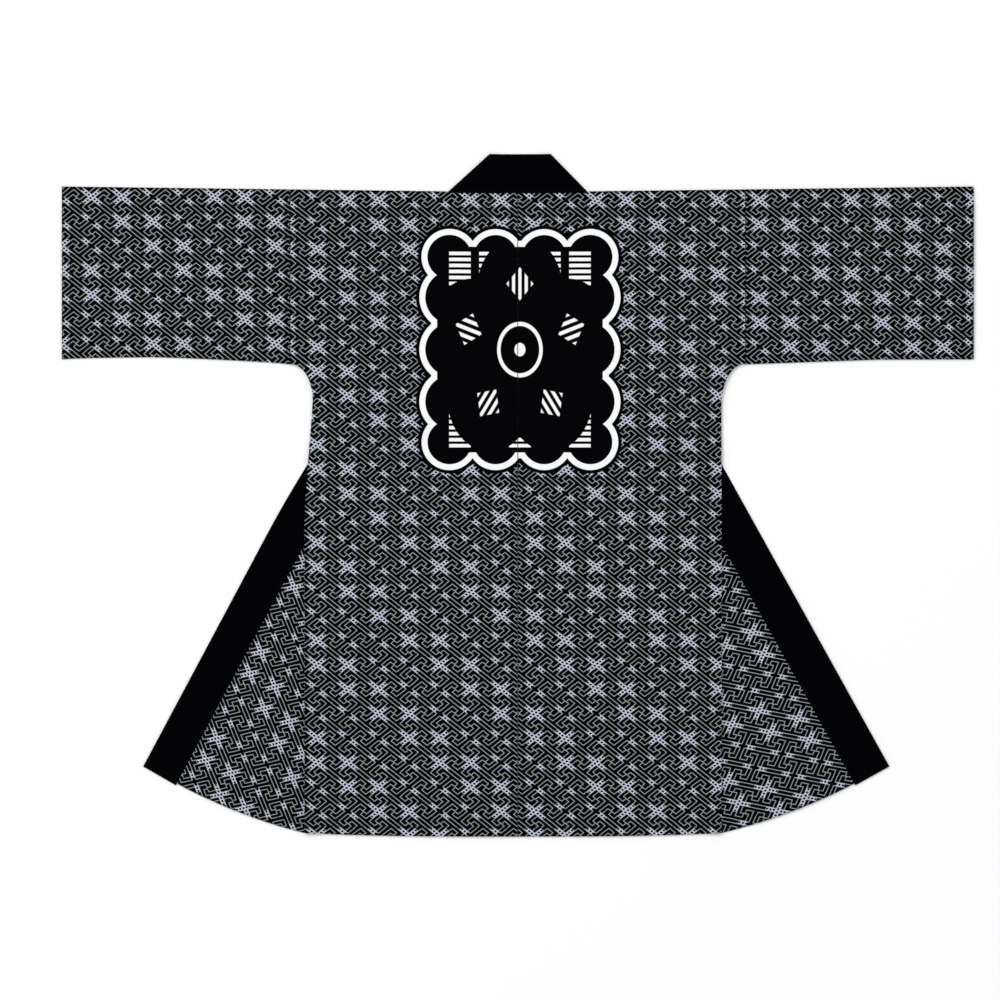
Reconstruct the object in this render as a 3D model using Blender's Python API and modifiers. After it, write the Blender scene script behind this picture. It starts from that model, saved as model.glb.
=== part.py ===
"""A happi coat, laid out flat with its back up and its two fronts opened outwards under it.

Metres, +Z up.  The coat lies on z = 0 with the neck towards +Y, and the origin is in the middle of
the box that it fills, on the surface.  Right and left are the wearer's: the right is at +X.

A body half is one length of cloth that runs from the back hem over the shoulder to the front hem.
Its front is folded once more, along a slanting crease from the neck to the foot of the side seam,
so that the front's edge and its collar band come out beside the body with their right side up.
A sleeve is a flattened tube.  The collar is one long band with a mitred fold at each side of the
neck and the same slanting crease as the fronts.
"""

import math

import bmesh
import bpy
from mathutils import Vector

# Thickness of each wall, and the clearance between layers and across seams
CLOTH = 0.0012
BAND = 0.0015
GAP = 0.0003
SEAM = 0.0005

# Outline of the body and sleeves, as sizes of the coat laid flat
LENGTH = 0.955
CUFF_X = 0.638
ARMHOLE_X = 0.3185
SIDE_X = 0.285
SHOULDER_Y = 0.4254
SHOULDER_RISE = 0.0068
UNDERARM_Y = 0.184
UNDERARM_CURVE = 0.056
CUFF_BOTTOM_Y = 0.191
SLEEVE_BEND = (0.504, 0.1906)
HEM_RISE = 0.005
FRONT_DROP = 0.0275
HEM_POINTS = 6
CURVE_POINTS = 8

# Neck and collar
NECK_X = 0.0993
COLLAR_WIDTH = 0.0545
NECK_Y = LENGTH / 2 - COLLAR_WIDTH
SEAM_LEAN = math.radians(1.04)
BAND_PAST_HEM = 0.003

# Where the crease crosses the collar's seam the band is cut this much shy of the front, out of sight
CREASE_NOTCH = 0.0006
CREASE_NOTCH_POINTS = ((0.10, 0), (0.14, 1), (0.17, 1), (0.21, 0))

# The crease of each front: where it meets the hem, and its lean away from the upright
CREASE_FOOT = Vector((0.2825, -0.4745))
CREASE_LEAN = math.radians(14.0)

# A layer stays level this far past the edge of what lies under it, then sinks over the next stretch
LEVEL_PAST_EDGE = 0.002
SINK = 0.024
SINK_STEPS = 4
FOLD_STEPS = 10
CELL = 0.05
CROSS_COUNT = 20

# The wearer's left side lies a little wider than the right, below the armhole
EASE = 0.0133
EASE_TOP_Y = 0.19
EASE_FULL_Y = -0.05
EASE_FADE_WIDTH = 0.232
EASE_FADE = 0.68

HEM_Y = -LENGTH / 2
SEAM_DIRECTION = Vector((-math.sin(SEAM_LEAN), -math.cos(SEAM_LEAN)))
SEAM_NORMAL = Vector((math.cos(SEAM_LEAN), -math.sin(SEAM_LEAN)))
CREASE_DIRECTION = Vector((math.sin(CREASE_LEAN), -math.cos(CREASE_LEAN)))
CREASE_NORMAL = Vector((math.cos(CREASE_LEAN), math.sin(CREASE_LEAN)))
NECK_POINT = Vector((NECK_X, NECK_Y))
MITRE_ANGLE = -(math.radians(90) + SEAM_LEAN) / 2
MITRE_DIRECTION = Vector((math.cos(MITRE_ANGLE), math.sin(MITRE_ANGLE)))
MITRE_NORMAL = Vector((MITRE_DIRECTION.y, -MITRE_DIRECTION.x))


def smoothstep(t):
    t = min(max(t, 0.0), 1.0)
    return t * t * (3 - 2 * t)


def settle(inside):
    """1 over something whose edge is `inside` away, falling to 0 beyond that edge."""
    return smoothstep(1 + (inside + LEVEL_PAST_EDGE) / SINK)


def mirrored(point, on_line, normal):
    return point - normal * (2 * (point - on_line).dot(normal))


def past_crease(point):
    return (point - CREASE_FOOT).dot(CREASE_NORMAL)


def past_seam(point):
    """How far a point of the unfolded front lies outside the seam between front and collar."""
    return (point - NECK_POINT).dot(SEAM_NORMAL)


def shoulder_y(x):
    return SHOULDER_Y + SHOULDER_RISE * max(x - NECK_X, 0) / (CUFF_X - NECK_X)


# Heights: the room kept under each layer, and the middle of its wall


def room_under_front(point):
    """The opened front and its band lie on the surface, under the part that stays in place."""
    outside = past_seam(mirrored(point, CREASE_FOOT, CREASE_NORMAL))
    on_flap = settle(outside + COLLAR_WIDTH)
    on_band = on_flap * settle(-outside)
    return (CLOTH + GAP) * on_flap + (BAND - CLOTH) * on_band


def room_under_back(point):
    on_band = settle(-past_seam(point))
    layers = room_under_front(point) + CLOTH + GAP + (BAND - CLOTH) * on_band
    return layers * settle(past_crease(point))


def room_under_neck(point):
    return (room_under_front(point) + BAND + GAP) * settle(past_crease(point))


def back_height(point):
    return room_under_back(point) + CLOTH / 2


def front_height(point):
    return room_under_front(point) + CLOTH / 2


def flap_height(point):
    return CLOTH / 2


def neck_height(point):
    return room_under_neck(point) + BAND / 2


def band_height(point):
    return room_under_front(point) + BAND / 2


def turned_band_height(point):
    return BAND / 2


def folded(point, on_line, normal, upper, lower):
    """Folds the far side of a line under the near side, round a half circle.

    Returns the place in plan and, inside the half circle, the height there."""
    across = (point - on_line).dot(normal)
    foot = point - normal * across
    radius = (upper(foot) - lower(foot)) / 2
    reach = radius * math.pi / 2
    if abs(across) >= reach:
        return foot + normal * abs(across), None
    angle = across / radius
    height = lower(foot) + radius * (1 + math.sin(angle))
    return foot + normal * (reach - radius * math.cos(angle)), height


def folded_at_crease(point, upper, lower):
    place, height = folded(point, CREASE_FOOT, CREASE_NORMAL, upper, lower)
    if height is None:
        height = upper(point) if past_crease(point) > 0 else lower(place)
    return place, height


def eased(place, side):
    """The plan of the finished coat: mirrored to its side, and a little wider on the left."""
    x, y = place
    if side < 0:
        down = smoothstep((EASE_TOP_Y - y) / (EASE_TOP_Y - EASE_FULL_Y))
        fade = min(max((x - SIDE_X) / EASE_FADE_WIDTH, 0), 1)
        x += EASE * down * min(x / SIDE_X, 1) * (1 - EASE_FADE * fade)
    return side * x, y


def body_place(x, v):
    """A point of a body half: x from the centre, v from the shoulder, up to the back, down the front."""
    line = shoulder_y(x)
    point = Vector((x, line - abs(v)))
    at_fold = Vector((x, line))
    radius = (back_height(at_fold) - front_height(at_fold)) / 2
    reach = radius * math.pi / 2
    if abs(v) < reach:
        place = Vector((x, line - reach + radius * math.cos(v / radius)))
        return place, front_height(at_fold) + radius * (1 - math.sin(v / radius))
    if v < 0:
        return point, back_height(point)
    return folded_at_crease(point, front_height, flap_height)


def collar_place(s, w):
    """A point of the collar: s along it from the centre back, w from its seam to its free edge."""
    point = Vector((s, NECK_Y + w))
    place, height = folded(point, NECK_POINT, MITRE_NORMAL, neck_height, band_height)
    if height is not None:
        return place, height
    if (point - NECK_POINT).dot(MITRE_NORMAL) > 0:
        return point, neck_height(point)
    return folded_at_crease(place, band_height, turned_band_height)


# Cutting a flat piece along lines, so that it can bend there


def parallels(on_line, direction, offsets):
    normal = Vector((direction.y, -direction.x))
    for offset in offsets:
        start = on_line + normal * offset
        yield start, start + direction


def cut(bm, ends, keep):
    """Cuts the faces whose middle passes `keep` along the line through two points."""
    start, end = ends
    along = end - start
    faces = [f for f in bm.faces if keep(f.calc_center_median())]
    edges = {e for f in faces for e in f.edges}
    verts = {v for f in faces for v in f.verts}
    bmesh.ops.bisect_plane(
        bm,
        geom=faces + list(edges) + list(verts),
        dist=1e-7,
        plane_co=(start.x, start.y, 0),
        plane_no=(along.y, -along.x, 0),
    )


def sinking_offsets(toward):
    """Offsets of the lines where a layer bends as it sinks past an edge."""
    steps = [LEVEL_PAST_EDGE + SINK * i / SINK_STEPS for i in range(SINK_STEPS + 1)]
    return [toward * step for step in steps]


def fold_offsets(radius):
    reach = radius * math.pi / 2
    return [reach * (2 * i / FOLD_STEPS - 1) for i in range(FOLD_STEPS + 1)]


CREASE_LINES = list(parallels(CREASE_FOOT, CREASE_DIRECTION, [0]))
CREASE_FOLD = list(parallels(CREASE_FOOT, CREASE_DIRECTION, fold_offsets((BAND + GAP) / 2)))
CREASE_SINK = list(parallels(CREASE_FOOT, CREASE_DIRECTION, sinking_offsets(1)))
CROSS_LINES = list(
    parallels(CREASE_FOOT, CREASE_NORMAL, [CELL * (i + 0.5) for i in range(-CROSS_COUNT, 2)])
)


def turned_lines(offsets):
    """Lines in plan along the opened front, at distances past its seam."""
    for start, end in parallels(NECK_POINT, SEAM_DIRECTION, offsets):
        yield (
            mirrored(start, CREASE_FOOT, CREASE_NORMAL),
            mirrored(end, CREASE_FOOT, CREASE_NORMAL),
        )


FREE_EDGE_SINK = list(turned_lines([COLLAR_WIDTH + step for step in sinking_offsets(1)]))
BAND_STEP = list(turned_lines([-step for step in sinking_offsets(1)[::2]]))
SEAM_STEP = list(parallels(NECK_POINT, SEAM_DIRECTION, [-step for step in sinking_offsets(1)[::2]]))


def new_object(name, colour, roughness, collection):
    mesh = bpy.data.meshes.new(name)
    material = bpy.data.materials.new(name)
    material.use_nodes = True
    shader = material.node_tree.nodes["Principled BSDF"]
    shader.inputs["Base Color"].default_value = (*colour, 1)
    shader.inputs["Roughness"].default_value = roughness
    shader.inputs["Metallic"].default_value = 0
    material.diffuse_color = (*colour, 1)
    mesh.materials.append(material)
    ob = bpy.data.objects.new(name, mesh)
    collection.objects.link(ob)
    return ob


def add_wall(ob, thickness):
    wall = ob.modifiers.new("Wall", "SOLIDIFY")
    wall.thickness = thickness
    wall.offset = 0
    wall.use_even_offset = True
    wall.use_quality_normals = True


def lay_down(bm, place, side):
    """Moves each point of a flat piece to where it lies, and turns its faces up."""
    for vert in bm.verts:
        spot, height = place(vert.co.x, vert.co.y)
        vert.co = (*eased(spot, side), height)


def side_curve():
    """The underarm curve, from the armhole down to the side seam, as plan points."""
    for i in range(CURVE_POINTS + 1):
        turn = math.radians(90) * i / CURVE_POINTS
        yield Vector((
            ARMHOLE_X - SEAM / 2 - (ARMHOLE_X - SIDE_X) * math.sin(turn),
            UNDERARM_Y - UNDERARM_CURVE * (1 - math.cos(turn)),
        ))


def back_hem_y(x):
    return HEM_Y + HEM_RISE * (x / SIDE_X) ** 3


def body_outline():
    """The outline of a body half in its own cloth, from the centre of the back hem round."""
    side = list(side_curve())
    side_x = side[-1].x
    corner_y = back_hem_y(side_x)
    drop = shoulder_y(side_x) - corner_y
    for i in range(HEM_POINTS):
        x = SEAM / 2 + (side_x - SEAM / 2) * i / HEM_POINTS
        yield x, back_hem_y(x) - shoulder_y(x)
    yield side_x, -drop
    for point in reversed(side):
        yield point.x, point.y - shoulder_y(point.x)
    for point in side:
        yield point.x, shoulder_y(point.x) - point.y
    yield side_x, drop
    edge = NECK_POINT + SEAM_NORMAL * SEAM / 2
    seam_foot = edge + SEAM_DIRECTION * (NECK_Y - corner_y + FRONT_DROP) / math.cos(SEAM_LEAN)
    yield seam_foot.x, shoulder_y(seam_foot.x) - seam_foot.y
    yield edge.x, shoulder_y(edge.x) - edge.y
    yield edge.x, NECK_Y - SEAM / 2 - shoulder_y(edge.x)
    yield SEAM / 2, NECK_Y - SEAM / 2 - shoulder_y(0)


def body_half(name, side, collection):
    bm = bmesh.new()
    bm.faces.new([bm.verts.new((x, v, 0)) for x, v in body_outline()])

    def on_back(ends):
        return [Vector((p.x, p.y - shoulder_y(p.x))) for p in ends]

    def on_front(ends):
        return [Vector((p.x, shoulder_y(p.x) - p.y)) for p in ends]

    def is_back(centre):
        return centre.y < 0

    def is_front(centre):
        return centre.y > 0

    def is_unfolded(centre):
        plan = Vector((centre.x, shoulder_y(centre.x) - centre.y))
        return is_front(centre) and past_crease(plan) > 0

    for offset in fold_offsets((CLOTH + GAP) / 2):
        cut(bm, (Vector((0, offset)), Vector((1, offset))), lambda centre: True)
    for ends in CREASE_LINES + CREASE_SINK + FREE_EDGE_SINK + BAND_STEP + SEAM_STEP + CROSS_LINES:
        cut(bm, on_back(ends), is_back)
    for ends in CREASE_FOLD:
        cut(bm, on_front(ends), is_front)
    for ends in FREE_EDGE_SINK + BAND_STEP:
        cut(bm, on_front(ends), is_unfolded)
    for ends in CROSS_LINES:
        cut(bm, on_front(ends), is_front)

    lay_down(bm, body_place, side)
    finish_mesh(bm, name, collection, CLOTH, (0.10, 0.11, 0.125))


def finish_mesh(bm, name, collection, thickness, colour):
    bmesh.ops.triangulate(bm, faces=bm.faces)
    bmesh.ops.recalc_face_normals(bm, faces=bm.faces)
    ob = new_object(name, colour, 0.85, collection)
    bm.to_mesh(ob.data)
    bm.free()
    add_wall(ob, thickness)


def sleeve_ring(x):
    """The middle of a flattened sleeve's wall at x, round its folded top and its seamed bottom."""
    radius = (CLOTH + GAP) / 2
    reach = radius * math.pi / 2
    bend_x, bend_y = SLEEVE_BEND
    if x < bend_x:
        along = (x - ARMHOLE_X) / (bend_x - ARMHOLE_X)
        bottom = UNDERARM_Y + (bend_y - UNDERARM_Y) * along
    else:
        along = (x - bend_x) / (CUFF_X - bend_x)
        bottom = bend_y + (CUFF_BOTTOM_Y - bend_y) * along
    ends = ((shoulder_y(x) - reach, 1), (bottom + radius, -1))
    for centre, outward in ends:
        for i in range(FOLD_STEPS + 1):
            turn = math.radians(90) - math.pi * i / FOLD_STEPS
            yield (
                x,
                centre + outward * radius * math.cos(turn),
                CLOTH / 2 + radius * (1 + outward * math.sin(turn)),
            )


def sleeve(name, side, collection):
    bm = bmesh.new()
    stations = [ARMHOLE_X + SEAM / 2, SLEEVE_BEND[0], CUFF_X]
    rings = []
    for x in stations:
        ring = []
        for along, across, height in sleeve_ring(x):
            ring.append(bm.verts.new((side * along, across, height)))
        rings.append(ring)
    for near, far in zip(rings, rings[1:]):
        for i in range(len(near)):
            j = (i + 1) % len(near)
            bm.faces.new((near[i], near[j], far[j], far[i]))
    finish_mesh(bm, name, collection, CLOTH, (0.10, 0.11, 0.125))


def collar(name, collection):
    end = NECK_X + (NECK_Y - back_hem_y(SIDE_X) + FRONT_DROP + BAND_PAST_HEM) / math.cos(SEAM_LEAN)
    low = SEAM / 2
    notch = [(NECK_X + past, low + CREASE_NOTCH * deep) for past, deep in CREASE_NOTCH_POINTS]
    corners = ((0, low), *notch, (end, low), (end, COLLAR_WIDTH), (0, COLLAR_WIDTH))

    def on_neck(ends):
        return [Vector((p.x, p.y - NECK_Y)) for p in ends]

    def on_band(ends):
        return on_neck([mirrored(p, NECK_POINT, MITRE_NORMAL) for p in ends])

    def is_neck(centre):
        return (Vector((centre.x, centre.y)) - Vector((NECK_X, 0))).dot(MITRE_NORMAL) > 0

    def is_band(centre):
        return not is_neck(centre)

    def is_hidden_band(centre):
        plan = mirrored(Vector((centre.x, NECK_Y + centre.y)), NECK_POINT, MITRE_NORMAL)
        return is_band(centre) and past_crease(plan) > 0

    halves = []
    for side in (1, -1):
        bm = bmesh.new()
        bm.faces.new([bm.verts.new((s, w, 0)) for s, w in corners])
        for ends in parallels(NECK_POINT, MITRE_DIRECTION, fold_offsets((BAND + GAP) / 2)):
            cut(bm, on_neck(ends), lambda centre: True)
        for ends in CREASE_LINES + CREASE_SINK + FREE_EDGE_SINK:
            cut(bm, on_neck(ends), is_neck)
        for ends in CREASE_FOLD:
            cut(bm, on_band(ends), is_band)
        for ends in FREE_EDGE_SINK:
            cut(bm, on_band(ends), is_hidden_band)
        for ends in CROSS_LINES:
            cut(bm, on_band(ends), is_band)
        lay_down(bm, collar_place, side)
        half = bpy.data.meshes.new(name)
        bm.to_mesh(half)
        bm.free()
        halves.append(half)

    bm = bmesh.new()
    for half in halves:
        bm.from_mesh(half)
        bpy.data.meshes.remove(half)
    bmesh.ops.remove_doubles(bm, verts=bm.verts, dist=1e-6)
    finish_mesh(bm, name, collection, BAND, (0.004, 0.004, 0.005))


def main():
    for ob in list(bpy.data.objects):
        bpy.data.objects.remove(ob, do_unlink=True)
    parts = bpy.data.collections.new("happi coat")
    bpy.context.scene.collection.children.link(parts)
    for name, side in (("right", 1), ("left", -1)):
        body_half("body_" + name, side, parts)
        sleeve("sleeve_" + name, side, parts)
    collar("collar", parts)


main()
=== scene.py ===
"""The looks of a happi coat that lies flat with its back up and its two fronts opened outwards under it.

Metres, +Z up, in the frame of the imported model.  Each piece of cloth is drawn flat in its own cloth,
cut along the lines where it bends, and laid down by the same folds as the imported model, only finer.
The cloth's own coordinates are kept as a UV map in metres, so that the print follows the cloth round
every fold.  A second UV map holds the distance from the nearest sewn edge and the way along it.
"""

import math

import bmesh
import bpy
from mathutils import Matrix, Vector, noise


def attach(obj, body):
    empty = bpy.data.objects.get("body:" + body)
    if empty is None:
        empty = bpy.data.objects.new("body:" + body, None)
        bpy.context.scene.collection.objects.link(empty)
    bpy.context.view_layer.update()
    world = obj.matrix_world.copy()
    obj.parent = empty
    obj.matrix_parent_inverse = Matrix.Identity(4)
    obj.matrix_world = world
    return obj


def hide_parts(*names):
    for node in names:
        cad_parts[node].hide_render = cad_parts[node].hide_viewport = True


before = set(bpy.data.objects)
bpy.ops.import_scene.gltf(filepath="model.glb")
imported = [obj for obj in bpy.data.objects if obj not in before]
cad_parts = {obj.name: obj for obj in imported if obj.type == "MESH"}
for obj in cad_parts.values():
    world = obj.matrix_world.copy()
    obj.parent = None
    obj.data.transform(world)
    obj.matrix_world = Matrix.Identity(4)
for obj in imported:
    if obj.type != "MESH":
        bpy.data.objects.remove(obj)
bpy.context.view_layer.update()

# Thickness of each wall, the clearance between layers, and the hairline left at a seam
CLOTH = 0.0012
BAND = 0.0015
GAP = 0.0003
SEAM = 0.00012

# Outline of the body and sleeves, as sizes of the coat laid flat
LENGTH = 0.955
CUFF_X = 0.638
ARMHOLE_X = 0.3185
SIDE_X = 0.285
SHOULDER_Y = 0.4254
SHOULDER_RISE = 0.0068
UNDERARM_Y = 0.184
UNDERARM_CURVE = 0.056
CUFF_BOTTOM_Y = 0.191
SLEEVE_BEND = (0.504, 0.1906)
HEM_RISE = 0.005
FRONT_DROP = 0.0275
FRONT_BOW = 0.0065
BOW_POWER = 0.8
HEM_POINTS = 12
CURVE_POINTS = 16

# Neck and collar
NECK_X = 0.0993
COLLAR_WIDTH = 0.0545
NECK_Y = LENGTH / 2 - COLLAR_WIDTH
SEAM_LEAN = math.radians(1.04)
BAND_PAST_HEM = 0.003

# The crease of each front: where it meets the hem, and its lean away from the upright
CREASE_FOOT = Vector((0.2825, -0.4745))
CREASE_LEAN = math.radians(14.0)

# A layer stays level this far past the edge of what lies under it, then sinks over the next stretch
LEVEL_PAST_EDGE = 0.002
SINK = 0.024
SINK_STEPS = 4
FOLD_STEPS = 10

# Meshing: the cells that hold the relief, their shift off the outline's points, and tolerances
GRID = 0.012
GRID_SHIFT = 0.37
CUT_TOLERANCE = 1e-7
WELD = 1e-6
CRISP_ANGLE = math.radians(55)

# The wearer's left side lies a little wider than the right, below the armhole
EASE = 0.0133
EASE_TOP_Y = 0.19
EASE_FULL_Y = -0.05
EASE_FADE_WIDTH = 0.232
EASE_FADE = 0.68

# The wearer's left mitre of the collar leans in a little more at its top
MITRE_LEAN = 0.0065
MITRE_REACH = 0.045

# The wearer's left sleeve is this much narrower midway, where its bottom edge is drawn up
SLEEVE_LIFT = 0.0034
LIFT_POWER = 0.6

# Sewing: how far in from a hem and from a band's edge the stitches run
HEM_DEPTH = 0.012
BAND_STITCH = 0.003

# Relief: soft ridges as (start, end, half width, height)
RIDGES = (
    ((-0.60, 0.330), (-0.36, 0.300), 0.022, 0.0029),
    ((-0.56, 0.245), (-0.33, 0.215), 0.018, 0.0025),
    ((0.60, 0.325), (0.38, 0.300), 0.022, 0.0027),
    ((0.57, 0.235), (0.34, 0.210), 0.018, 0.0027),
    ((-0.30, 0.190), (-0.17, 0.060), 0.020, 0.0029),
    ((0.30, 0.185), (0.19, 0.050), 0.020, 0.0027),
    ((-0.25, 0.02), (-0.22, -0.36), 0.024, 0.0025),
    ((0.22, 0.00), (0.20, -0.34), 0.024, 0.0025),
    ((-0.08, -0.10), (-0.10, -0.42), 0.026, 0.0023),
    ((0.07, -0.16), (0.09, -0.44), 0.026, 0.0022),
    ((-0.37, -0.18), (-0.33, -0.40), 0.016, 0.0022),
    ((0.37, -0.20), (0.34, -0.40), 0.016, 0.0022),
)

# A ridge has this share of its height at its ends, and grows this fast away from them
RIDGE_END = 0.1
RIDGE_TAPER = 4

# A faint unevenness all over: height, size and slice of the noise, then a finer one in shares of it
UNEVEN = 0.0016
UNEVEN_SIZE = 0.11
UNEVEN_SLICE = 0.37
FINE_SHARE = 0.3
FINE_SIZE = 0.4
FINE_SLICE = 4.1

# The band is stiffer, and takes up this share of the relief
BAND_RELIEF = 0.5

# The relief dies out towards folds, creases and the edges of the body that lies on the fronts
CALM_MARGIN = 0.004
FOLD_CALM = 0.03
SIDE_CALM = 0.04
CREASE_CALM = 0.02

# The print: its pitch, the place of one cross, and how far it is shifted on other pieces of cloth
PITCH_X = 0.04285
PITCH_Y = 0.03420
PRINT_SITE = (-0.02345, -0.20264)
RIGHT_HALF_SHIFT = 0.0045
RIGHT_SLEEVE_SHIFT = 0.0190
LEFT_SLEEVE_SHIFT = (-0.0157, 0.0045)

# How it is drawn, in cells of a sixth of its pitch: rows lie half a repeat apart on the diagonal
HALF_REPEAT = 6.0

# Rows come in four kinds: the two on either side of FULL_KINDS hold crosses, and the others dashes
ROW_KINDS = 4.0
FULL_KINDS = 1.5

# A distance outside every shape
FAR = 10.0

# Half widths of a dotted arm and of a thin line, their softness, and that of the arm's brighter ink
CHANNEL = 0.60
LINE = 0.090
SOFT = 0.06
CROSS_SOFT = 3 * SOFT

# An arm ends this far along its row, and a dash is open up to this far from its middle
CROSS_REACH = 3.60
DASH_START = 1.15

# The holes in the arms: none of those along the row lies nearer its middle than DOTS_FROM
DOTS_FROM = 0.7
DOT_SPACING = 1.04
DOT_FIRST_ACROSS = 1.16
DOT_FIRST_ALONG = 0.52
DOT_RADIUS = 0.36

# Thin lines that run away from a row as (place along it, start), and along it as (place, start, end)
UPRIGHT_LINES = ((CHANNEL, CHANNEL), (1.72, CHANNEL), (3.2, 1.72), (5.34, 1.72))
LEVEL_LINES = ((CHANNEL, CHANNEL, 6.2), (1.72, 3.2, 5.34), (3.0, 1.72, 4.28))

# The emblem on the back: a block with a scalloped edge that holds a blossom of five petals
EMBLEM = (0.003, 0.204)
TOP_LOBES = (0.0340, 0.0985)
TOP_LOBE_Y = 0.1295
TOP_LOBE_SIZE = 0.0440
SIDE_LOBES = (0.0, 0.0730)
SIDE_LOBE_X = 0.0945
SIDE_LOBE_SIZE = 0.0510
BLOCK = (0.1290, 0.1570)
OUTLINE_INSET = 0.0090
OUTLINE_HALF_WIDTH = (0.0038, 0.0044)
SLAT = 0.0042
SLAT_HALF_WIDTH = 0.0024
SLAT_GROUP = 0.0210
SLAT_REACH = 0.0150
SLAT_FIELD = (0.1010, 0.1370)
SLATS_FROM = 0.0520
RIM_MARGIN = 0.019

# The blossom's half width and half height in metres, and its parts as shares of them
BLOSSOM = (0.1180, 0.1440)
PETALS = 5
PETAL_AT = 0.60
PETAL_SIZE = 0.43
PETAL_MARGIN = 0.075
HEART_SIZE = 0.5
SIDE_SLITS = (0.075, 0.150)
SLIT_AT = 0.64
SLIT_REACH = 0.16
SLIT_HALF_WIDTH = 0.018
RING_SIZE = 0.25
RING_HALF_WIDTH = 0.020
BUD_SIZE = 0.065
BLOSSOM_SOFT = 0.004

SEAM_DIRECTION = Vector((-math.sin(SEAM_LEAN), -math.cos(SEAM_LEAN)))
SEAM_NORMAL = Vector((math.cos(SEAM_LEAN), -math.sin(SEAM_LEAN)))
CREASE_DIRECTION = Vector((math.sin(CREASE_LEAN), -math.cos(CREASE_LEAN)))
CREASE_NORMAL = Vector((math.cos(CREASE_LEAN), math.sin(CREASE_LEAN)))
NECK_POINT = Vector((NECK_X, NECK_Y))
FRONT_TOP = NECK_POINT + SEAM_NORMAL * SEAM / 2
MITRE_ANGLE = -(math.radians(90) + SEAM_LEAN) / 2
MITRE_DIRECTION = Vector((math.cos(MITRE_ANGLE), math.sin(MITRE_ANGLE)))
MITRE_NORMAL = Vector((MITRE_DIRECTION.y, -MITRE_DIRECTION.x))


def smoothstep(t):
    t = min(max(t, 0.0), 1.0)
    return t * t * (3 - 2 * t)


def settle(inside):
    """1 over something whose edge is `inside` away, falling to 0 beyond that edge."""
    return smoothstep(1 + (inside + LEVEL_PAST_EDGE) / SINK)


def mirrored(point, on_line, normal):
    return point - normal * (2 * (point - on_line).dot(normal))


def past_crease(point):
    return (point - CREASE_FOOT).dot(CREASE_NORMAL)


def past_seam(point):
    """How far a point of the unfolded front lies outside the seam between front and collar."""
    return (point - NECK_POINT).dot(SEAM_NORMAL)


def shoulder_y(x):
    return SHOULDER_Y + SHOULDER_RISE * max(x - NECK_X, 0) / (CUFF_X - NECK_X)


# Heights: the room kept under each layer, and the middle of its wall


def room_under_front(point):
    """The opened front and its band lie on the surface, under the part that stays in place."""
    outside = past_seam(mirrored(point, CREASE_FOOT, CREASE_NORMAL))
    on_flap = settle(outside + COLLAR_WIDTH)
    on_band = on_flap * settle(-outside)
    return (CLOTH + GAP) * on_flap + (BAND - CLOTH) * on_band


def room_under_back(point):
    on_band = settle(-past_seam(point))
    layers = room_under_front(point) + CLOTH + GAP + (BAND - CLOTH) * on_band
    return layers * settle(past_crease(point))


def room_under_neck(point):
    return (room_under_front(point) + BAND + GAP) * settle(past_crease(point))


def back_height(point):
    return room_under_back(point) + CLOTH / 2


def front_height(point):
    return room_under_front(point) + CLOTH / 2


def flap_height(_point):
    return CLOTH / 2


def neck_height(point):
    return room_under_neck(point) + BAND / 2


def band_height(point):
    return room_under_front(point) + BAND / 2


def turned_band_height(_point):
    return BAND / 2


def folded(point, on_line, normal, upper, lower):
    """Folds the far side of a line under the near side, round a half circle.

    Returns the place in plan and, inside the half circle, the height there."""
    across = (point - on_line).dot(normal)
    foot = point - normal * across
    radius = (upper(foot) - lower(foot)) / 2
    reach = radius * math.pi / 2
    if abs(across) >= reach:
        return foot + normal * abs(across), None
    angle = across / radius
    height = lower(foot) + radius * (1 + math.sin(angle))
    return foot + normal * (reach - radius * math.cos(angle)), height


def folded_at_crease(point, upper, lower):
    place, height = folded(point, CREASE_FOOT, CREASE_NORMAL, upper, lower)
    if height is None:
        height = upper(point) if past_crease(point) > 0 else lower(place)
    return place, height


def eased(place, side):
    """The plan of the finished coat: mirrored to its side, and changed a little on the left."""
    x, y = place
    if side < 0:
        down = smoothstep((EASE_TOP_Y - y) / (EASE_TOP_Y - EASE_FULL_Y))
        fade = min(max((x - SIDE_X) / EASE_FADE_WIDTH, 0), 1)
        x += EASE * down * min(x / SIDE_X, 1) * (1 - EASE_FADE * fade)
        up = max(y - NECK_Y, 0) / COLLAR_WIDTH
        x -= MITRE_LEAN * up * min(x / MITRE_REACH, 1)
    return side * x, y


def body_place(x, v):
    """A point of a body half: x from the centre, v from the shoulder, up to the back, down the front."""
    line = shoulder_y(x)
    point = Vector((x, line - abs(v)))
    at_fold = Vector((x, line))
    radius = (back_height(at_fold) - front_height(at_fold)) / 2
    reach = radius * math.pi / 2
    if abs(v) < reach:
        place = Vector((x, line - reach + radius * math.cos(v / radius)))
        return place, front_height(at_fold) + radius * (1 - math.sin(v / radius))
    if v < 0:
        return point, back_height(point)
    return folded_at_crease(point, front_height, flap_height)


def collar_place(s, w):
    """A point of the collar: s along it from the centre back, w from its seam to its free edge."""
    point = Vector((s, NECK_Y + w))
    place, height = folded(point, NECK_POINT, MITRE_NORMAL, neck_height, band_height)
    if height is not None:
        return place, height
    if (point - NECK_POINT).dot(MITRE_NORMAL) > 0:
        return point, neck_height(point)
    return folded_at_crease(place, band_height, turned_band_height)


# Relief of the layers that show


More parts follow.
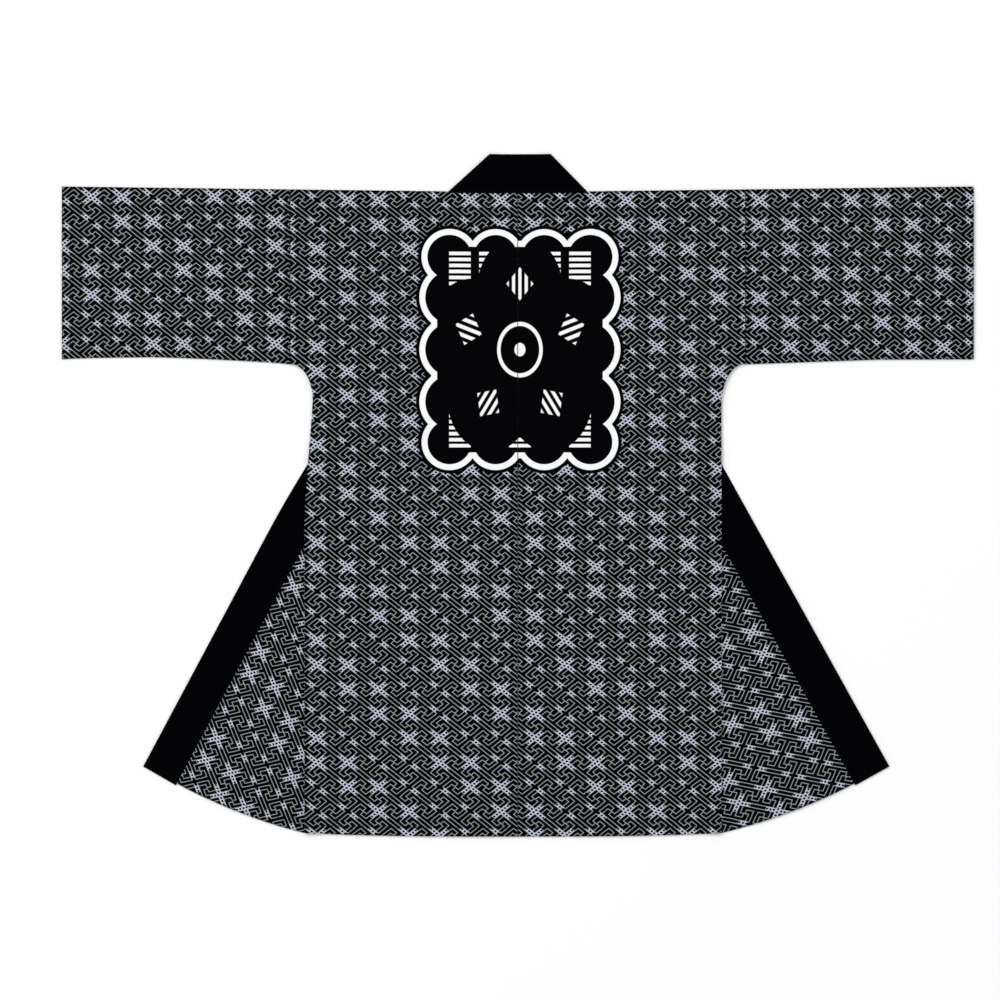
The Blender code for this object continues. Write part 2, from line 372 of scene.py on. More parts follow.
def relief(x, y):
    """How far the upper layer rises above its flat place, as a height that is never below 0."""
    spot = Vector((x, y))
    rise = 0.0
    for start, end, half_width, height in RIDGES:
        start = Vector(start)
        along = Vector(end) - start
        reach = (spot - start).dot(along) / along.length_squared
        nearest = start + along * min(max(reach, 0), 1)
        across = (spot - nearest).length / half_width
        taper = smoothstep(RIDGE_TAPER * min(reach, 1 - reach) + RIDGE_END)
        rise += height * math.exp(-across * across) * taper
    uneven = noise.noise(Vector((x, y, UNEVEN_SLICE)) / UNEVEN_SIZE)
    fine = noise.noise(Vector((x, y, FINE_SLICE)) / (FINE_SIZE * UNEVEN_SIZE))
    rise += UNEVEN * (0.5 + 0.5 * uneven) + FINE_SHARE * UNEVEN * (0.5 + 0.5 * fine)
    return rise


def calm_near(distance, reach):
    return smoothstep(distance / reach)


def shown_relief(spot):
    """The relief of what comes out beside the body; what lies under the body stays flat."""
    shown = abs(spot[0]) - SIDE_X - EASE - CALM_MARGIN
    return relief(*spot) * calm_near(shown, SIDE_CALM)


def body_rise(x, v, spot):
    """The relief of a body half at a point of its cloth that lies at `spot` in plan."""
    if v < 0:
        return relief(*spot) * calm_near(-v - CALM_MARGIN, FOLD_CALM)
    plan = Vector((x, shoulder_y(x) - v))
    return 0.0 if past_crease(plan) > -CREASE_CALM else shown_relief(spot)


def collar_rise(_s, _w, spot):
    return BAND_RELIEF * shown_relief(spot)


# Cutting a flat piece along lines, so that it can bend there


def parallels(on_line, direction, offsets):
    normal = Vector((direction.y, -direction.x))
    for offset in offsets:
        start = on_line + normal * offset
        yield start, start + direction


def cut(bm, ends, keep=None):
    """Cuts the faces whose middle passes `keep` along the line through two points."""
    start, end = ends
    along = end - start
    if keep is None:
        geometry = bm.verts[:] + bm.edges[:] + bm.faces[:]
    else:
        faces = [f for f in bm.faces if keep(f.calc_center_median())]
        edges = dict.fromkeys(e for f in faces for e in f.edges)
        verts = dict.fromkeys(v for f in faces for v in f.verts)
        geometry = [*faces, *edges, *verts]
    bmesh.ops.bisect_plane(
        bm,
        geom=geometry,
        dist=CUT_TOLERANCE,
        plane_co=(start.x, start.y, 0),
        plane_no=(along.y, -along.x, 0),
    )


def cut_grid(bm, spacing):
    """Cuts a flat piece both ways into cells small enough to hold the relief."""
    xs = [v.co.x for v in bm.verts]
    ys = [v.co.y for v in bm.verts]
    for values, direction in ((xs, Vector((0, 1))), (ys, Vector((1, 0)))):
        low = min(values)
        count = int((max(values) - low) / spacing)
        for i in range(1, count + 1):
            at = low + (i - GRID_SHIFT) * spacing
            start = Vector((at, 0)) if direction.x == 0 else Vector((0, at))
            cut(bm, (start, start + direction))


def fold_offsets(radius):
    reach = radius * math.pi / 2
    return [reach * (2 * i / FOLD_STEPS - 1) for i in range(FOLD_STEPS + 1)]


# How far past an edge the lines lie where a layer bends as it sinks
SINK_AT = [LEVEL_PAST_EDGE + SINK * i / SINK_STEPS for i in range(SINK_STEPS + 1)]

CREASE_LINES = list(parallels(CREASE_FOOT, CREASE_DIRECTION, [0]))
CREASE_FOLD = list(parallels(CREASE_FOOT, CREASE_DIRECTION, fold_offsets((BAND + GAP) / 2)))
CREASE_SINK = list(parallels(CREASE_FOOT, CREASE_DIRECTION, SINK_AT))


def turned_lines(offsets):
    """Lines in plan along the opened front, at distances past its seam."""
    for start, end in parallels(NECK_POINT, SEAM_DIRECTION, offsets):
        yield (
            mirrored(start, CREASE_FOOT, CREASE_NORMAL),
            mirrored(end, CREASE_FOOT, CREASE_NORMAL),
        )


FREE_EDGE_SINK = list(turned_lines([COLLAR_WIDTH + step for step in SINK_AT]))
BAND_STEP = list(turned_lines([-step for step in SINK_AT[::2]]))
SEAM_STEP = list(parallels(NECK_POINT, SEAM_DIRECTION, [-step for step in SINK_AT[::2]]))


def finish_piece(bm, name, material, thickness):
    """Turns a flat-walled piece into cloth with a thickness, as one plain mesh with crisp cut edges."""
    bmesh.ops.triangulate(bm, faces=bm.faces)
    bmesh.ops.recalc_face_normals(bm, faces=bm.faces)
    sheet = bpy.data.meshes.new(name + "_sheet")
    bm.to_mesh(sheet)
    bm.free()
    ob = bpy.data.objects.new(name, sheet)
    bpy.context.scene.collection.objects.link(ob)
    wall = ob.modifiers.new("Wall", "SOLIDIFY")
    wall.thickness = thickness
    wall.offset = 0
    wall.use_even_offset = True
    wall.use_quality_normals = True
    graph = bpy.context.evaluated_depsgraph_get()
    solid = bpy.data.meshes.new_from_object(ob.evaluated_get(graph))
    solid.name = name
    ob.modifiers.clear()
    ob.data = solid
    bpy.data.meshes.remove(sheet)
    solid.materials.clear()
    solid.materials.append(material)
    for face in solid.polygons:
        face.use_smooth = True
    solid.set_sharp_from_angle(angle=CRISP_ANGLE)
    return ob


def lay_down(bm, place, rise, print_at, edge_at, side):
    """Moves each point of a flat piece to where it lies, and keeps its cloth and edge coordinates."""
    print_layer = bm.loops.layers.uv.new("Print")
    edge_layer = bm.loops.layers.uv.new("Edge")
    for face in bm.faces:
        for loop in face.loops:
            x, y = loop.vert.co.x, loop.vert.co.y
            loop[print_layer].uv = print_at(x, y, side)
            loop[edge_layer].uv = edge_at(x, y)
    for vert in bm.verts:
        flat = vert.co.copy()
        spot, height = place(flat.x, flat.y)
        spot = eased(spot, side)
        vert.co = (*spot, height + rise(flat.x, flat.y, spot))


# Body halves


def side_curve():
    """The underarm curve, from the armhole down to the side seam, as plan points."""
    for i in range(CURVE_POINTS + 1):
        turn = math.radians(90) * i / CURVE_POINTS
        yield Vector((
            ARMHOLE_X - SEAM / 2 - (ARMHOLE_X - SIDE_X) * math.sin(turn),
            UNDERARM_Y - UNDERARM_CURVE * (1 - math.cos(turn)),
        ))


def back_hem_y(x):
    return -LENGTH / 2 + HEM_RISE * (x / SIDE_X) ** 3


def front_foot(corner_y):
    """Where hem and band meet on the unfolded front, from the height of its side corner."""
    return FRONT_TOP + SEAM_DIRECTION * (NECK_Y - corner_y + FRONT_DROP) / math.cos(SEAM_LEAN)


def hem_bow(share):
    return FRONT_BOW * math.sin(math.pi * share) ** BOW_POWER


def front_hem_y(x):
    """The front hem in its unfolded plan, bowed between the side corner and the foot of the band."""
    corner_y = back_hem_y(SIDE_X)
    foot = front_foot(corner_y)
    share = min(max((SIDE_X - x) / (SIDE_X - foot.x), 0), 1)
    return corner_y + (foot.y - corner_y) * share - hem_bow(share)


def body_outline():
    """The outline of a body half in its own cloth, from the centre of the back hem round."""
    side = list(side_curve())
    side_x = side[-1].x
    corner_y = back_hem_y(side_x)
    drop = shoulder_y(side_x) - corner_y
    for i in range(HEM_POINTS):
        x = SEAM / 2 + (side_x - SEAM / 2) * i / HEM_POINTS
        yield x, back_hem_y(x) - shoulder_y(x)
    yield side_x, -drop
    for point in reversed(side):
        yield point.x, point.y - shoulder_y(point.x)
    for point in side:
        yield point.x, shoulder_y(point.x) - point.y
    foot = front_foot(corner_y)
    for i in range(HEM_POINTS + 1):
        share = i / HEM_POINTS
        x = side_x + (foot.x - side_x) * share
        y = corner_y + (foot.y - corner_y) * share
        yield x, shoulder_y(x) - y + hem_bow(share)
    yield FRONT_TOP.x, shoulder_y(FRONT_TOP.x) - FRONT_TOP.y
    yield FRONT_TOP.x, NECK_Y - SEAM / 2 - shoulder_y(FRONT_TOP.x)
    yield SEAM / 2, NECK_Y - SEAM / 2 - shoulder_y(0)


def body_print(x, v, side):
    """The back shows the print upright, and it runs on over the shoulder and down the front."""
    line = shoulder_y(x)
    wide, _ = eased((x, line - abs(v)), side)
    return wide, line + v


def body_edge(x, v):
    """The way along the hem, and the distance from it."""
    y = shoulder_y(x) - abs(v)
    if v < 0:
        return x, y - back_hem_y(x)
    return x, y - front_hem_y(x)


def body_half(name, side, material):
    bm = bmesh.new()
    bm.faces.new([bm.verts.new((x, v, 0)) for x, v in body_outline()])

    def on_back(ends):
        return [Vector((p.x, p.y - shoulder_y(p.x))) for p in ends]

    def on_front(ends):
        return [Vector((p.x, shoulder_y(p.x) - p.y)) for p in ends]

    def is_back(centre):
        return centre.y < 0

    def is_front(centre):
        return centre.y > 0

    def is_unfolded(centre):
        plan = Vector((centre.x, shoulder_y(centre.x) - centre.y))
        return is_front(centre) and past_crease(plan) > 0

    for offset in fold_offsets((CLOTH + GAP) / 2):
        cut(bm, (Vector((0, offset)), Vector((1, offset))))
    for ends in CREASE_LINES + CREASE_SINK + FREE_EDGE_SINK + BAND_STEP + SEAM_STEP:
        cut(bm, on_back(ends), is_back)
    for ends in CREASE_FOLD:
        cut(bm, on_front(ends), is_front)
    for ends in FREE_EDGE_SINK + BAND_STEP:
        cut(bm, on_front(ends), is_unfolded)
    cut_grid(bm, GRID)
    lay_down(bm, body_place, body_rise, body_print, body_edge, side)
    return finish_piece(bm, name, material, CLOTH)


# Sleeves


def sleeve_bottom(x, side):
    bend_x, bend_y = SLEEVE_BEND
    share = min(max((x - ARMHOLE_X) / (CUFF_X - ARMHOLE_X), 0), 1)
    lift = SLEEVE_LIFT * math.sin(math.pi * share) ** LIFT_POWER if side < 0 else 0
    if x < bend_x:
        return lift + UNDERARM_Y + (bend_y - UNDERARM_Y) * (x - ARMHOLE_X) / (bend_x - ARMHOLE_X)
    return lift + bend_y + (CUFF_BOTTOM_Y - bend_y) * (x - bend_x) / (CUFF_X - bend_x)


def sleeve_ring(x, side):
    """Points round a flattened sleeve at x: place, height, and the way round in the cloth.

    The way is given twice, before and after the point, because the cloth ends at the bottom seam."""
    radius = (CLOTH + GAP) / 2
    reach = radius * math.pi / 2
    top = shoulder_y(x) - reach
    bottom = sleeve_bottom(x, side) + radius
    rows = max(int((SHOULDER_Y - UNDERARM_Y) / GRID), 2)
    for i in range(FOLD_STEPS + 1):
        turn = math.radians(90) - math.pi * i / FOLD_STEPS
        height = CLOTH / 2 + radius * (1 + math.sin(turn))
        way = top + reach - radius * turn
        yield top + radius * math.cos(turn), height, way, way
    for i in range(1, rows):
        y = top + (bottom - top) * i / rows
        way = 2 * (top + reach) - y
        yield y, CLOTH / 2, way, way
    span = 2 * (top + reach) - bottom
    for i in range(FOLD_STEPS + 1):
        turn = math.radians(-90) + math.pi * i / FOLD_STEPS
        height = CLOTH / 2 + radius * (1 + math.sin(turn))
        under = span + radius * (turn + math.radians(90))
        over = bottom - radius * (math.radians(90) - turn)
        y = bottom - radius * math.cos(turn)
        before = under if 2 * i <= FOLD_STEPS else over
        after = under if 2 * i < FOLD_STEPS else over
        yield y, height, before, after
    for i in range(1, rows):
        y = bottom + (top - bottom) * i / rows
        calm = calm_near(min(y - bottom, top - y), FOLD_CALM)
        yield y, CLOTH / 2 + 2 * radius + calm * relief(side * x, y), y, y


def sleeve(name, side, material):
    bm = bmesh.new()
    print_layer = bm.loops.layers.uv.new("Print")
    edge_layer = bm.loops.layers.uv.new("Edge")
    start = ARMHOLE_X + SEAM / 2
    count = int((CUFF_X - start) / GRID)
    stations = [start + (CUFF_X - start) * i / count for i in range(count + 1)]
    rings = []
    for x in stations:
        points = list(sleeve_ring(x, side))
        verts = [bm.verts.new((side * x, y, height)) for y, height, _, _ in points]
        rings.append((x, verts, [(before, after) for _, _, before, after in points]))
    for (near_x, near, near_way), (far_x, far, far_way) in zip(rings, rings[1:]):
        for i in range(len(near)):
            j = (i + 1) % len(near)
            face = bm.faces.new((near[i], near[j], far[j], far[i]))
            corners = (
                (near_x, near_way[i][1]),
                (near_x, near_way[j][0]),
                (far_x, far_way[j][0]),
                (far_x, far_way[i][1]),
            )
            for loop, (x, way) in zip(face.loops, corners):
                loop[print_layer].uv = (side * x, way)
                loop[edge_layer].uv = (way, CUFF_X - x)
    return finish_piece(bm, name, material, CLOTH)


# Collar


def collar_print(s, w, side):
    return side * s, w


def collar_edge(s, w):
    return s, min(w, COLLAR_WIDTH - w)


def collar(name, material):
    end = NECK_X + (NECK_Y - back_hem_y(SIDE_X) + FRONT_DROP + BAND_PAST_HEM) / math.cos(SEAM_LEAN)
    low = SEAM / 2
    corners = ((0, low), (end, low), (end, COLLAR_WIDTH), (0, COLLAR_WIDTH))

    def on_neck(ends):
        return [Vector((p.x, p.y - NECK_Y)) for p in ends]

    def on_band(ends):
        return on_neck([mirrored(p, NECK_POINT, MITRE_NORMAL) for p in ends])

    def is_neck(centre):
        return (Vector((centre.x, centre.y)) - Vector((NECK_X, 0))).dot(MITRE_NORMAL) > 0

    def is_band(centre):
        return not is_neck(centre)

    def is_hidden_band(centre):
        plan = mirrored(Vector((centre.x, NECK_Y + centre.y)), NECK_POINT, MITRE_NORMAL)
        return is_band(centre) and past_crease(plan) > 0

    halves = []
    for side in (1, -1):
        bm = bmesh.new()
        bm.faces.new([bm.verts.new((s, w, 0)) for s, w in corners])
        for ends in parallels(NECK_POINT, MITRE_DIRECTION, fold_offsets((BAND + GAP) / 2)):
            cut(bm, on_neck(ends))
        for ends in CREASE_LINES + CREASE_SINK + FREE_EDGE_SINK:
            cut(bm, on_neck(ends), is_neck)
        for ends in CREASE_FOLD:
            cut(bm, on_band(ends), is_band)
        for ends in FREE_EDGE_SINK:
            cut(bm, on_band(ends), is_hidden_band)
        cut_grid(bm, GRID)
        lay_down(bm, collar_place, collar_rise, collar_print, collar_edge, side)
        half = bpy.data.meshes.new(name + "_half")
        bm.to_mesh(half)
        bm.free()
        halves.append(half)

    bm = bmesh.new()
    for half in halves:
        bm.from_mesh(half)
        bpy.data.meshes.remove(half)
    bmesh.ops.remove_doubles(bm, verts=bm.verts, dist=WELD)
    return finish_piece(bm, name, material, BAND)


# Materials

# Softness of drawn edges, in metres
EMBLEM_SOFT = 0.0004
SLAT_SOFT = 0.0003
SLAT_FIELD_SOFT = 0.0005
STITCH_SOFT = 0.0001

# Threads and stitches
PRINTED_THREAD = 0.0007
BAND_THREAD = 0.0008
STITCH = 0.0035
STITCH_SHARE = 0.32
STITCH_HALF_WIDTH = 0.0004

# Unevenness of the dye: how many patches or slubs there are in a metre, and how fine they get
PRINTED_PATCHES = (9.0, 3.0)
BAND_PATCHES = (14.0, 3.0)
SLUBS = (240.0, 2.0)
SLUB_STRETCH = 4.0

# Colours; a pair is mixed by the unevenness
GROUND = ((0.0004, 0.0005, 0.0012), (0.0014, 0.0016, 0.0028))
THIN_INK = ((0.335, 0.378, 0.392), (0.440, 0.485, 0.500))
BOLD_INK = ((0.465, 0.487, 0.594), (0.590, 0.612, 0.724))
EMBLEM_BLACK = (0.0010, 0.0010, 0.0016)
EMBLEM_WHITE = (0.95, 0.955, 0.96)
WORN_COLOUR = (0.03, 0.032, 0.036)
THREAD_COLOUR = (0.004, 0.004, 0.006)
# The next colour is painted shade, laid into the grooves at the seams
GROOVE_SHADE_COLOUR = (0.002, 0.002, 0.003)
SHADE_COLOUR = (0.001, 0.001, 0.0015)
BAND_BLACK = ((0.0003, 0.0003, 0.0009), (0.0009, 0.0008, 0.0018))

# Wear at an edge, the painted shade in the groove at a seam from its middle out, and the shade between
# the threads
WORN_DEPTH = 0.004
WORN_SHARE = 0.35
GROOVE = (0.0004, 0.0012)
GROOVE_SHADE_STRENGTH = 0.7
WEAVE_SHADE = 0.22

# Fine relief, in shares of BUMP_DISTANCE; a turned edge ends in a step on each side of HEM_DEPTH
BUMP_DISTANCE = 0.0006
BUMP_STRENGTH = 0.6
WEAVE_HEIGHT = 0.10
TURNED_HEIGHT = 0.6
TURNED_STEP = (0.0006, 0.0012)
GROOVE_HEIGHT = 0.9
STITCH_HEIGHT = 0.35
BAND_WEAVE_HEIGHT = 0.12
BAND_STITCH_HEIGHT = 0.4

# Finish: roughness, then specular level
PRINTED_FINISH = (0.92, 0.02)
BAND_FINISH = (0.9, 0.015)
PAPER_FINISH = (1.0, 0.0)

# Where a colour mixing node keeps its share, its two colours and its result
COLOUR_MIX_INPUTS = (0, 6, 7)
COLOUR_MIX_OUTPUT = 2


class Graph:
    """Short names for the shader nodes that the cloth is worked out with."""

    def __init__(self, material):
        self.nodes = material.node_tree.nodes
        self.links = material.node_tree.links

    def feed(self, sockets, values):
        """Fills sockets in turn, each from another node's socket, a colour or a number."""
        for socket, value in zip(sockets, values):
            if isinstance(value, bpy.types.NodeSocket):
                self.links.new(value, socket)
            elif isinstance(value, tuple):
                socket.default_value = (*value, 1)
            else:
                socket.default_value = value

    def math(self, operation, *values):
        node = self.nodes.new("ShaderNodeMath")
        node.operation = operation
        self.feed(node.inputs, values)
        return node.outputs[0]

    def add(self, first, second):
        return self.math("ADD", first, second)

    def minus(self, first, second):
        return self.math("SUBTRACT", first, second)

    def times(self, first, second):
        return self.math("MULTIPLY", first, second)

    def over(self, first, second):
        return self.math("DIVIDE", first, second)

    def size(self, value):
        return self.math("ABSOLUTE", value)

    def least(self, found, *others):
        for other in others:
            found = self.math("MINIMUM", found, other)
        return found

    def most(self, found, *others):
        for other in others:
            found = self.math("MAXIMUM", found, other)
        return found

    def apart(self, value, at):
        """The distance between a value and a place on its scale."""
        return self.size(self.minus(value, at))

    def wrap(self, value, half):
        """A value brought back into the range from -half to half by whole steps of that range."""
        return self.math("WRAP", value, half, -half)

    def reach(self, across, along):
        """The length of a step across and along."""
        return self.math("SQRT", self.add(self.times(across, across), self.times(along, along)))

    def ramp(self, value, low, high, at_low, at_high):
        """Goes smoothly from one result to another as a value goes from low to high."""
        node = self.nodes.new("ShaderNodeMapRange")
        node.interpolation_type = "SMOOTHSTEP"
        self.feed(node.inputs, (value, low, high, at_low, at_high))
        return node.outputs[0]

    def inside(self, distance, soft):
        """1 inside a shape, where the distance from its edge is below 0, and 0 outside it."""
        return self.ramp(distance, -soft, soft, 1.0, 0.0)

    def mix(self, share, first, second):
        """Mixes two colours by the share of the second."""
        node = self.nodes.new("ShaderNodeMix")
        node.data_type = "RGBA"
        self.feed([node.inputs[i] for i in COLOUR_MIX_INPUTS], (share, first, second))
        return node.outputs[COLOUR_MIX_OUTPUT]

    def uv(self, name):
        node = self.nodes.new("ShaderNodeUVMap")
        node.uv_map = name
        apart = self.nodes.new("ShaderNodeSeparateXYZ")
        self.links.new(node.outputs[0], apart.inputs[0])
        return apart.outputs[0], apart.outputs[1]

    def noise(self, x, y, scale, detail):
        joined = self.nodes.new("ShaderNodeCombineXYZ")
        self.feed(joined.inputs, (x, y))
        node = self.nodes.new("ShaderNodeTexNoise")
        node.inputs["Scale"].default_value = scale
        node.inputs["Detail"].default_value = detail
        self.links.new(joined.outputs[0], node.inputs["Vector"])
        return node.outputs[0]


def printed_at(g, x, y):
    """A point of the cloth in the print, whose place differs on each sleeve and half of the body."""
    past_armhole = RIGHT_SLEEVE_SHIFT - RIGHT_HALF_SHIFT
    on_right = g.times(g.math("GREATER_THAN", x, 0.0), RIGHT_HALF_SHIFT)
    on_right_sleeve = g.times(g.math("GREATER_THAN", x, ARMHOLE_X), past_armhole)
    on_left_sleeve = g.math("LESS_THAN", x, -ARMHOLE_X)
    shift = g.add(on_right, on_right_sleeve)
    shift = g.add(shift, g.times(on_left_sleeve, LEFT_SLEEVE_SHIFT[0]))
    rise = g.times(on_left_sleeve, LEFT_SLEEVE_SHIFT[1])
    return g.minus(x, shift), g.minus(y, rise)


def fret(g, x, y):
    """The share of white in the print, and how far it is a cross.

    Crosses and dashes stand in rows along the falling diagonals.  From the nearest one, a is the
    distance along its row and b the distance across it, so each quarter round it is drawn alike."""
    across = g.over(g.minus(x, PRINT_SITE[0]), PITCH_X / HALF_REPEAT)
    upward = g.over(g.minus(y, PRINT_SITE[1]), PITCH_Y / HALF_REPEAT)
    falling = g.minus(across, upward)
    rising = g.add(across, upward)

    row = g.math("FLOOR", g.over(g.add(rising, HALF_REPEAT / 2), HALF_REPEAT))
    shift = g.times(row, HALF_REPEAT)
    a = g.size(g.wrap(g.minus(falling, shift), HALF_REPEAT))
    b = g.size(g.minus(rising, shift))
    kind = g.math("FLOORED_MODULO", row, ROW_KINDS)
    is_full = g.math("LESS_THAN", g.apart(kind, FULL_KINDS), 1.0)
    is_dash = g.minus(1.0, is_full)

    lines = []
    for at, start in UPRIGHT_LINES:
        lines.append(g.most(g.apart(a, at), g.minus(start, b)))
    for at, start, end in LEVEL_LINES:
        beyond = g.minus(g.apart(a, (start + end) / 2), (end - start) / 2)
        lines.append(g.most(g.apart(b, at), beyond))
    line = g.minus(g.least(*lines), LINE)

    arm = g.most(g.minus(b, CHANNEL), g.minus(a, CROSS_REACH))
    middle = g.times(is_dash, g.minus(DASH_START, a))
    arm = g.most(arm, g.minus(middle, g.times(is_full, FAR)))
    other_arm = g.add(g.minus(a, CHANNEL), g.times(is_dash, FAR))

    half = DOT_SPACING / 2
    dot = g.wrap(g.minus(g.most(a, DOTS_FROM), DOT_FIRST_ACROSS), half)
    other_dot = g.wrap(g.minus(b, DOT_FIRST_ALONG), half)
    hole = g.minus(DOT_RADIUS, g.least(g.reach(dot, b), g.reach(other_dot, a)))
    cross = g.most(g.least(arm, other_arm), hole)
    return g.inside(g.least(line, cross), SOFT), g.ramp(cross, -SOFT, CROSS_SOFT, 1.0, 0.0)


def emblem_edge(g, aside, up):
    """The distance from the emblem's scalloped edge, below 0 inside it."""
    near_x = g.least(*[g.apart(aside, at) for at in TOP_LOBES])
    near_y = g.least(*[g.apart(up, at) for at in SIDE_LOBES])
    top_lobe = g.reach(near_x, g.minus(up, TOP_LOBE_Y))
    side_lobe = g.reach(g.minus(aside, SIDE_LOBE_X), near_y)
    return g.least(
        g.most(g.minus(aside, BLOCK[0]), g.minus(up, BLOCK[1])),
        g.minus(side_lobe, SIDE_LOBE_SIZE),
        g.minus(top_lobe, TOP_LOBE_SIZE),
    )


def blossom(g, wide, high):
    """The distance from the edge of the petals, and the share of white in the marks on them."""
    across = g.over(wide, BLOSSOM[0])
    upward = g.over(high, BLOSSOM[1])
    radius = g.reach(across, upward)
    turn = g.wrap(g.math("ARCTAN2", across, upward), math.radians(180 / PETALS))
    out = g.times(radius, g.math("COSINE", turn))
    beside = g.size(g.times(radius, g.math("SINE", turn)))
    petal = g.minus(g.reach(g.minus(out, PETAL_AT), beside), PETAL_SIZE)
    edge = g.least(petal, g.minus(radius, HEART_SIZE))

    from_slit = g.least(beside, *[g.apart(beside, at) for at in SIDE_SLITS])
    beyond = g.minus(g.apart(out, SLIT_AT), g.minus(SLIT_REACH, beside))
    slit = g.most(g.minus(from_slit, SLIT_HALF_WIDTH), beyond)
    ring = g.minus(g.apart(radius, RING_SIZE), RING_HALF_WIDTH)
    bud = g.minus(radius, BUD_SIZE)
    return edge, g.inside(g.least(slit, ring, bud), BLOSSOM_SOFT)


def slats(g, wide, high, rim, petals):
    """The share of white in the groups of slats, clear of the emblem's rim and of the petals."""
    slat = g.minus(g.size(g.wrap(high, SLAT)), SLAT_HALF_WIDTH)
    group = g.minus(g.size(g.wrap(wide, SLAT_GROUP)), SLAT_REACH)
    up = g.size(high)
    field = g.most(
        g.minus(g.size(wide), SLAT_FIELD[0]),
        g.minus(up, SLAT_FIELD[1]),
        g.minus(SLATS_FROM, up),
        g.minus(PETAL_MARGIN, petals),
        g.add(rim, RIM_MARGIN),
    )
    return g.times(g.inside(g.most(slat, group), SLAT_SOFT), g.inside(field, SLAT_FIELD_SOFT))


def emblem(g, x, y):
    """The shares of the emblem's ground and of its white, at a point of the back in metres."""
    wide = g.minus(x, EMBLEM[0])
    high = g.minus(y, EMBLEM[1])
    rim = emblem_edge(g, g.size(wide), g.size(high))
    ground = g.inside(rim, EMBLEM_SOFT)
    outline = g.ramp(g.apart(rim, -OUTLINE_INSET), *OUTLINE_HALF_WIDTH, 1.0, 0.0)
    petals, marks = blossom(g, wide, high)
    white = g.most(outline, marks, slats(g, wide, high, rim, petals))
    return ground, g.times(white, ground)


def weave_height(g, x, y, thread):
    """A plain weave: threads that go over and under each other."""
    turn = math.pi / thread
    over = g.math("SINE", g.times(x, turn))
    under = g.math("SINE", g.times(y, turn))
    return g.add(0.5, g.times(0.5, g.times(over, under)))


def stitches(g, along, from_edge, at):
    """A row of running stitches, at a distance from an edge."""
    beyond = g.minus(g.size(g.wrap(along, STITCH / 2)), STITCH * STITCH_SHARE)
    row = g.most(g.minus(g.apart(from_edge, at), STITCH_HALF_WIDTH), beyond)
    return g.inside(row, STITCH_SOFT)


def new_material(name, finish):
    material = bpy.data.materials.new(name)
    material.use_nodes = True
    shader = material.node_tree.nodes["Principled BSDF"]
    shader.inputs["Roughness"].default_value = finish[0]
    shader.inputs["Specular IOR Level"].default_value = finish[1]
    return material, shader


def dress(g, shader, colour, height):
    """Gives a shader its colour and its fine relief."""
    g.links.new(colour, shader.inputs["Base Color"])
    node = g.nodes.new("ShaderNodeBump")
    node.inputs["Strength"].default_value = BUMP_STRENGTH
    node.inputs["Distance"].default_value = BUMP_DISTANCE
    g.links.new(height, node.inputs["Height"])
    g.links.new(node.outputs[0], shader.inputs["Normal"])


def printed_cotton(name):
    material, shader = new_material(name, PRINTED_FINISH)
    g = Graph(material)
    x, y = g.uv("Print")
    along, from_edge = g.uv("Edge")
    weave = weave_height(g, x, y, PRINTED_THREAD)
    patchy = g.noise(x, y, *PRINTED_PATCHES)
    slub = g.noise(g.times(x, SLUB_STRETCH), y, *SLUBS)

    white, crossed = fret(g, *printed_at(g, x, y))
    ink = g.mix(crossed, g.mix(slub, *THIN_INK), g.mix(slub, *BOLD_INK))
    colour = g.mix(white, g.mix(patchy, *GROUND), ink)
    on_emblem, bright = emblem(g, x, y)
    colour = g.mix(on_emblem, colour, EMBLEM_BLACK)
    colour = g.mix(bright, colour, EMBLEM_WHITE)

    worn = g.ramp(from_edge, 0.0, WORN_DEPTH, WORN_SHARE, 0.0)
    colour = g.mix(g.times(worn, patchy), colour, WORN_COLOUR)
    sewn = stitches(g, along, from_edge, HEM_DEPTH)
    colour = g.mix(sewn, colour, THREAD_COLOUR)
    aside = g.size(x)
    back_seam = g.ramp(aside, *GROOVE, 1.0, 0.0)
    armhole = g.ramp(g.apart(aside, ARMHOLE_X), *GROOVE, 1.0, 0.0)
    groove_and_shade = g.most(back_seam, armhole)
    # Painted shade: the colour is darkened along the groove at the centre back seam and at the armholes
    colour = g.mix(g.times(groove_and_shade, GROOVE_SHADE_STRENGTH), colour, GROOVE_SHADE_COLOUR)
    colour = g.mix(g.times(g.minus(1.0, weave), WEAVE_SHADE), colour, SHADE_COLOUR)

    turned = g.ramp(from_edge, HEM_DEPTH - TURNED_STEP[0], HEM_DEPTH + TURNED_STEP[1], 1.0, 0.0)
    height = g.times(weave, WEAVE_HEIGHT)
    height = g.add(height, g.times(turned, TURNED_HEIGHT))
    height = g.minus(height, g.times(groove_and_shade, GROOVE_HEIGHT))
    height = g.minus(height, g.times(sewn, STITCH_HEIGHT))
    dress(g, shader, colour, height)
    return material


def black_cotton(name):
    material, shader = new_material(name, BAND_FINISH)
    g = Graph(material)
    x, y = g.uv("Print")
    along, from_edge = g.uv("Edge")
    weave = weave_height(g, x, y, BAND_THREAD)
    patchy = g.noise(x, y, *BAND_PATCHES)
    sewn = stitches(g, along, from_edge, BAND_STITCH)
    colour = g.mix(sewn, g.mix(patchy, *BAND_BLACK), THREAD_COLOUR)
    height = g.minus(g.times(weave, BAND_WEAVE_HEIGHT), g.times(sewn, BAND_STITCH_HEIGHT))
    dress(g, shader, colour, height)
    return material


# The pieces


cotton = printed_cotton("printed_cotton")
plain = black_cotton("black_cotton")

for side_name, side in (("right", 1), ("left", -1)):
    body = body_half("cloth_body_" + side_name, side, cotton)
    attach(body, "root")
    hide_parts("body_" + side_name)
    arm = sleeve("cloth_sleeve_" + side_name, side, cotton)
    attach(arm, "root")
    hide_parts("sleeve_" + side_name)
band = collar("cloth_collar", plain)
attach(band, "root")
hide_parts("collar")


# The stage, the light and the camera

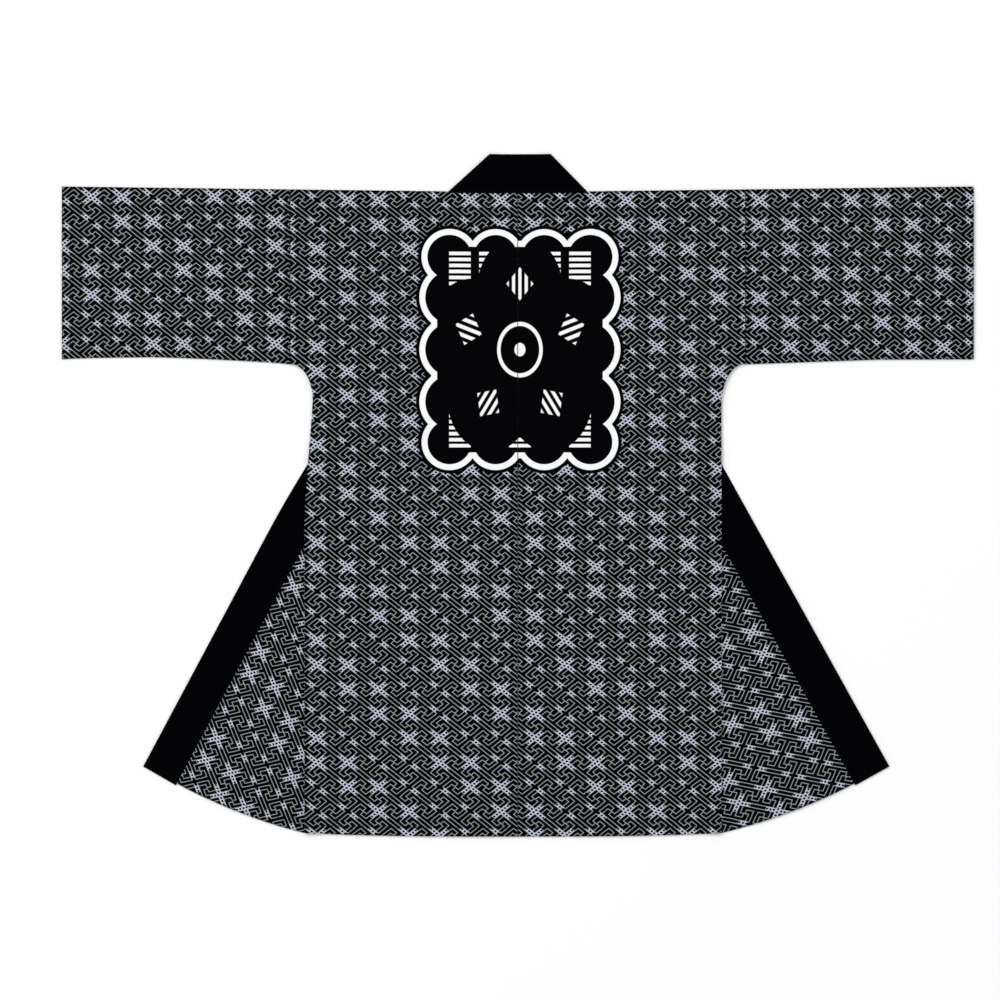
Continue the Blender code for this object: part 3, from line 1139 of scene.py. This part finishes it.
FLOOR_HALF = 4.0
FLOOR_Z = -0.0002
PAPER_COLOUR = (0.93, 0.93, 0.93, 1)
ROOM_COLOUR = (1.0, 1.0, 1.0, 1)
ROOM_STRENGTH = 0.835
LAMP_WIDTH = 4.0
LAMP_DEPTH = 3.0
LAMP_POWER = 190.0
LAMP_AT = (-3.2, 3.4, 5.0)
LENS = 135.0
SENSOR = 36.0
VIEW_DEPTH = 50.0
VIEW_WIDTH = 1.4
VIEW_MIDDLE = (-0.02485, -0.00644)


def add_object(name, data):
    ob = bpy.data.objects.new(name, data)
    bpy.context.scene.collection.objects.link(ob)
    return ob


floor_mesh = bpy.data.meshes.new("floor")
floor_corners = (
    (-FLOOR_HALF, -FLOOR_HALF, FLOOR_Z),
    (FLOOR_HALF, -FLOOR_HALF, FLOOR_Z),
    (FLOOR_HALF, FLOOR_HALF, FLOOR_Z),
    (-FLOOR_HALF, FLOOR_HALF, FLOOR_Z),
)
floor_mesh.from_pydata(floor_corners, [], [(0, 1, 2, 3)])
floor = add_object("floor", floor_mesh)
paper, paper_shader = new_material("paper", PAPER_FINISH)
paper_shader.inputs["Base Color"].default_value = PAPER_COLOUR
floor_mesh.materials.append(paper)

room = bpy.data.worlds.new("studio")
room.use_nodes = True
room.node_tree.nodes["Background"].inputs["Color"].default_value = ROOM_COLOUR
room.node_tree.nodes["Background"].inputs["Strength"].default_value = ROOM_STRENGTH
bpy.context.scene.world = room

lamp_data = bpy.data.lights.new("softbox", "AREA")
lamp_data.shape = "RECTANGLE"
lamp_data.size = LAMP_WIDTH
lamp_data.size_y = LAMP_DEPTH
lamp_data.energy = LAMP_POWER
lamp = add_object("softbox", lamp_data)
lamp.location = LAMP_AT
lamp.rotation_euler = (-Vector(LAMP_AT)).to_track_quat("-Z", "Y").to_euler()

camera_data = bpy.data.cameras.new("camera")
camera_data.lens = LENS
camera_data.sensor_width = SENSOR
camera_data.clip_end = VIEW_DEPTH
camera = add_object("camera", camera_data)
camera.location = (*VIEW_MIDDLE, VIEW_WIDTH * LENS / SENSOR)
bpy.context.scene.camera = camera
bpy.context.scene.view_settings.view_transform = "Standard"
